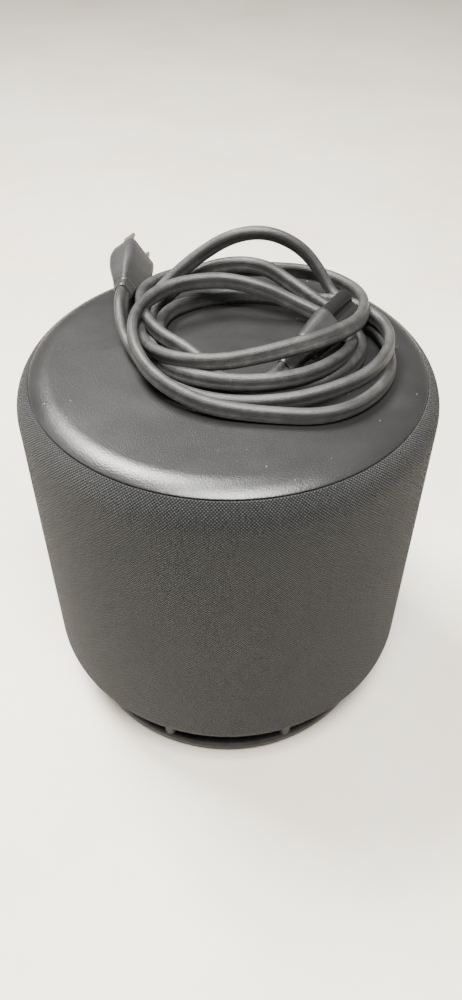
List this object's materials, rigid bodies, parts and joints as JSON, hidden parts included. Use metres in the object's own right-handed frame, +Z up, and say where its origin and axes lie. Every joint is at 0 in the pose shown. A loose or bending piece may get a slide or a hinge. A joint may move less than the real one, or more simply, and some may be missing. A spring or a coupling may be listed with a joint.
{
  "type": "smart bass speaker",
  "caption": "Cylindrical fabric-covered mains speaker with a plain top cap, a down-firing woofer over a vented base, a rear inlet and button, and its coiled detachable cord.",
  "frame": {"origin": "centre of the underside, on the surface that the rubber foot stands on", "axes": "+Z up along the cylinder's axis, +Y out of the rear panel, -Y the side that faces the viewer"},
  "size_m": [0.202, 0.202, 0.2563],
  "materials": {
    "foot_rubber": "matt black rubber",
    "gasket_foam": "closed-cell foam rubber",
    "base_plastic": "fine-grained dark grey plastic",
    "shell_plastic": "black moulded plastic",
    "fabric": "charcoal knitted acoustic fabric",
    "cap_plastic": "soft-touch dark grey plastic",
    "panel_plastic": "fine-grained black plastic",
    "screw_steel": "black-zinc steel",
    "basket_paint": "black powder coat",
    "magnet_steel": "zinc-plated steel",
    "ferrite": "bare grey ferrite",
    "surround_rubber": "satin black rubber",
    "cone_paper": "pressed black paper pulp",
    "former_aluminium": "thin aluminium foil",
    "winding_copper": "enamelled copper wire",
    "spider_cloth": "resin-stiffened cloth",
    "terminal_block": "dark phenolic board",
    "contact_metal": "nickel-plated brass",
    "lead_insulation": "black wire insulation",
    "board": "green solder mask",
    "connector_plastic": "off-white nylon",
    "transformer_tape": "yellow polyester tape",
    "capacitor_sleeve": "shrink sleeve",
    "heat_sink_aluminium": "extruded aluminium",
    "chip_plastic": "black epoxy",
    "shield_tin": "tin-plated steel",
    "ribbon": "white flat cable",
    "inlet_plastic": "black glass-filled nylon",
    "button_plastic": "satin dark grey plastic",
    "lens": "clear light pipe",
    "wadding": "white polyester wadding",
    "cord_sheath": "dusty grey flexible sheath",
    "plug_plastic": "grey moulded vinyl",
    "blade_metal": "nickel-plated brass",
    "grip_plastic": "grey moulded vinyl",
    "nose_plastic": "glossy black plastic"
  },
  "bodies": {
    "speaker_body": {"amplifier_heat_sink": "heat_sink_aluminium", "antenna": "board", "back_plate_and_pole": "magnet_steel", "baffle": "shell_plastic", "baffle_gasket": "gasket_foam", "base_plate": "base_plastic", "board_connectors": "connector_plastic", "board_screws": "screw_steel", "bulk_capacitors": "capacitor_sleeve", "button_switch": "chip_plastic", "case_screws": "screw_steel", "damping_wadding": "wadding", "enclosure_shell": "shell_plastic", "fabric_sleeve": "fabric", "filter_inductors": "ferrite", "foot_ring": "foot_rubber", "front_steel_plate": "magnet_steel", "inlet_pins": "contact_metal", "integrated_circuits": "chip_plastic", "link_cable": "ribbon", "lower_ring": "base_plastic", "main_board": "board", "mains_choke": "ferrite", "mains_leads": "lead_insulation", "power_board": "board", "power_heat_sink": "heat_sink_aluminium", "power_inlet": "inlet_plastic", "power_transformer": "transformer_tape", "radio_shield": "shield_tin", "rear_panel": "panel_plastic", "rear_screws": "screw_steel", "speaker_leads": "lead_insulation", "status_lamp": "chip_plastic", "status_lens": "lens", "supply_capacitors": "capacitor_sleeve", "switch_board": "board", "switch_cable": "ribbon", "top_cap": "cap_plastic", "woofer_basket": "basket_paint", "woofer_gasket": "gasket_foam", "woofer_magnet": "ferrite", "woofer_screws": "screw_steel", "woofer_solder_tags": "contact_metal", "woofer_spider": "spider_cloth", "woofer_surround": "surround_rubber", "woofer_terminal_block": "terminal_block"},
    "cone_assembly": {"woofer_cone": "cone_paper", "woofer_dust_cap": "cone_paper", "voice_coil_former": "former_aluminium", "voice_coil_winding": "winding_copper"},
    "button": {"action_button": "button_plastic", "switch_plunger": "button_plastic"},
    "power_cord": {"cord_coil": "cord_sheath", "cord_plug_tail": "cord_sheath", "cord_connector_tail": "cord_sheath", "plug_body": "plug_plastic", "plug_blades": "blade_metal", "plug_strain_relief": "plug_plastic", "connector_grip": "grip_plastic", "connector_nose": "nose_plastic"}
  },
  "joints": [
    {"name": "woofer_travel", "type": "slide", "parent": "speaker_body", "child": "cone_assembly", "axis": [0, 0, 1], "range_m": [-0.006, 0.006], "stiffness_N_per_m": 2000, "deforming": ["woofer_surround", "woofer_spider"]},
    {"name": "button_press", "type": "slide", "parent": "speaker_body", "child": "button", "axis": [0, -1, 0], "range_m": [0, 0.0008], "stiffness_N_per_m": 2500},
    {"name": "cord_lift", "type": "slide", "parent": "speaker_body", "child": "power_cord", "axis": [0, 0, 1], "range_m": [0, 0.12]}
  ]
}
